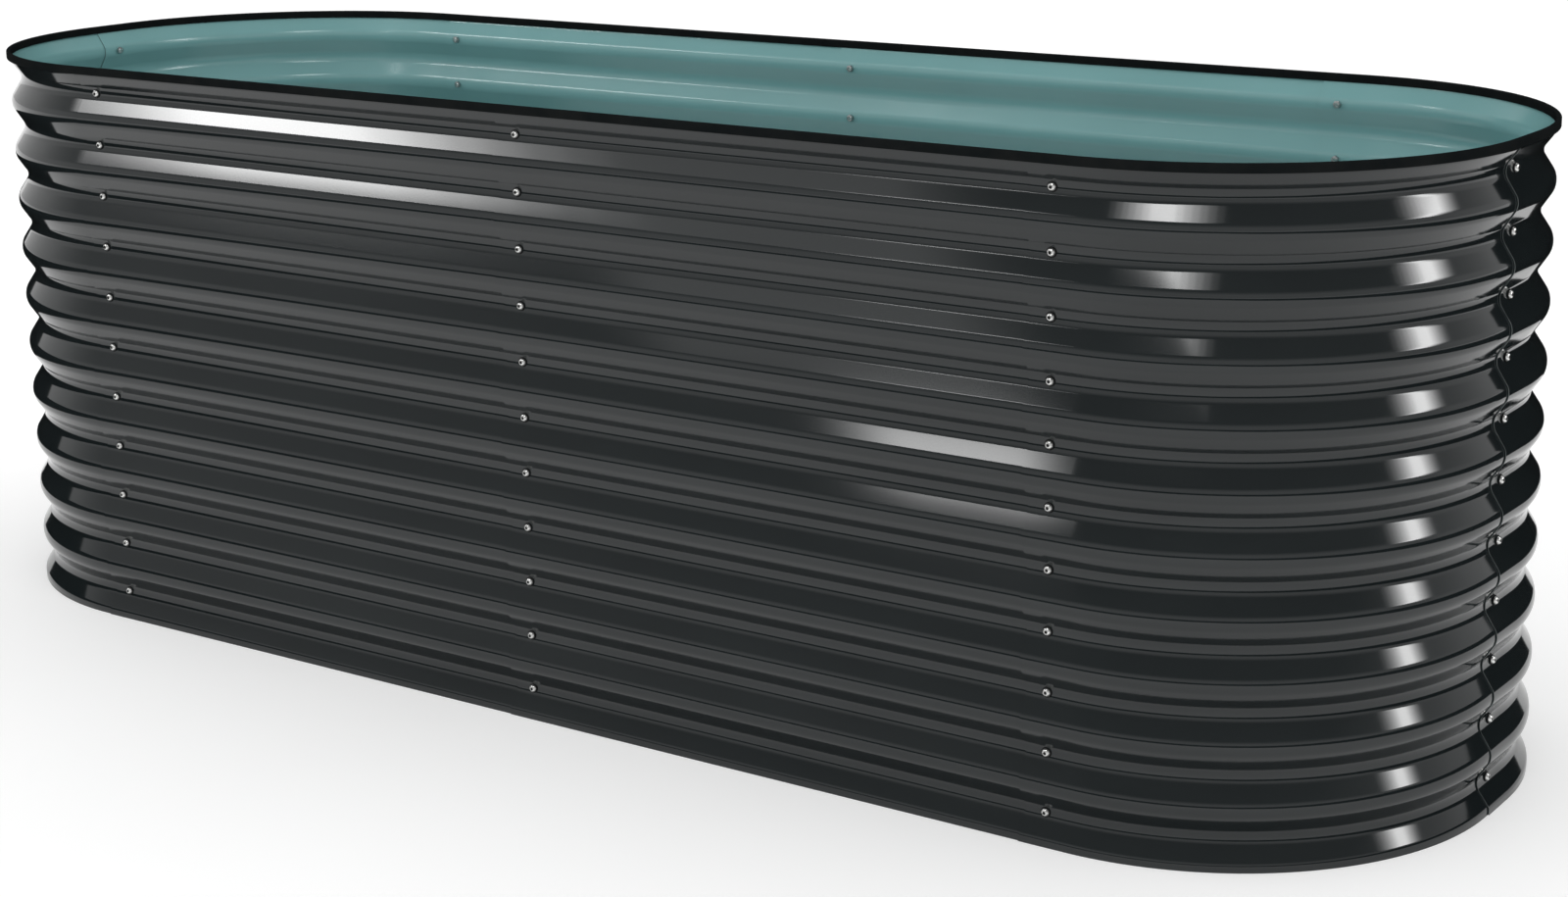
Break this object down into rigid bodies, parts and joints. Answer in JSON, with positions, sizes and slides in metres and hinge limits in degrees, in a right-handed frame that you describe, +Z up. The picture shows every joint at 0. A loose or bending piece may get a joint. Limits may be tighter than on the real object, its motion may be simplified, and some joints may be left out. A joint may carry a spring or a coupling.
{
  "type": "raised garden bed",
  "caption": "Tall oblong raised garden bed with round ends, open above and below: corrugated painted sheet panels lapped and bolted in a ring, rubber edging round the top, cross braces inside.",
  "frame": {"origin": "middle of the ground under the bed, at the height of the panels' bottom edges", "axes": "+X along the bed to the right end, -Y to the front, +Z up"},
  "size_m": [2.3954, 0.8204, 0.8273],
  "materials": {
    "panel_paint": "gloss black-grey paint outside, pale grey-green paint inside",
    "bolt_steel": "bright plain steel",
    "brace_steel": "zinc-plated steel",
    "edging_rubber": "satin black rubber"
  },
  "bodies": {
    "root": {"side_panel_front_left": "panel_paint", "side_panel_front_right": "panel_paint", "corner_panel_front_right": "panel_paint", "corner_panel_rear_right": "panel_paint", "side_panel_rear_right": "panel_paint", "side_panel_rear_left": "panel_paint", "corner_panel_rear_left": "panel_paint", "corner_panel_front_left": "panel_paint", "seam_bolt_front_left_01": "bolt_steel", "seam_bolt_front_left_03": "bolt_steel", "seam_bolt_front_left_05": "bolt_steel", "seam_bolt_front_left_07": "bolt_steel", "seam_bolt_front_left_09": "bolt_steel", "seam_bolt_front_left_11": "bolt_steel", "seam_bolt_front_middle_01": "bolt_steel", "seam_bolt_front_middle_03": "bolt_steel", "seam_bolt_front_middle_05": "bolt_steel", "seam_bolt_front_middle_07": "bolt_steel", "seam_bolt_front_middle_09": "bolt_steel", "seam_bolt_front_middle_11": "bolt_steel", "seam_bolt_front_right_01": "bolt_steel", "seam_bolt_front_right_03": "bolt_steel", "seam_bolt_front_right_05": "bolt_steel", "seam_bolt_front_right_07": "bolt_steel", "seam_bolt_front_right_09": "bolt_steel", "seam_bolt_front_right_11": "bolt_steel", "seam_bolt_right_middle_01": "bolt_steel", "seam_bolt_right_middle_03": "bolt_steel", "seam_bolt_right_middle_05": "bolt_steel", "seam_bolt_right_middle_07": "bolt_steel", "seam_bolt_right_middle_09": "bolt_steel", "seam_bolt_right_middle_11": "bolt_steel", "seam_bolt_rear_right_01": "bolt_steel", "seam_bolt_rear_right_03": "bolt_steel", "seam_bolt_rear_right_05": "bolt_steel", "seam_bolt_rear_right_07": "bolt_steel", "seam_bolt_rear_right_09": "bolt_steel", "seam_bolt_rear_right_11": "bolt_steel", "seam_bolt_rear_middle_01": "bolt_steel", "seam_bolt_rear_middle_03": "bolt_steel", "seam_bolt_rear_middle_05": "bolt_steel", "seam_bolt_rear_middle_07": "bolt_steel", "seam_bolt_rear_middle_09": "bolt_steel", "seam_bolt_rear_middle_11": "bolt_steel", "seam_bolt_rear_left_01": "bolt_steel", "seam_bolt_rear_left_03": "bolt_steel", "seam_bolt_rear_left_05": "bolt_steel", "seam_bolt_rear_left_07": "bolt_steel", "seam_bolt_rear_left_09": "bolt_steel", "seam_bolt_rear_left_11": "bolt_steel", "seam_bolt_left_middle_01": "bolt_steel", "seam_bolt_left_middle_03": "bolt_steel", "seam_bolt_left_middle_05": "bolt_steel", "seam_bolt_left_middle_07": "bolt_steel", "seam_bolt_left_middle_09": "bolt_steel", "seam_bolt_left_middle_11": "bolt_steel", "rim_edging": "edging_rubber", "cross_brace_upper": "brace_steel", "cross_brace_lower": "brace_steel"}
  },
  "joints": []
}
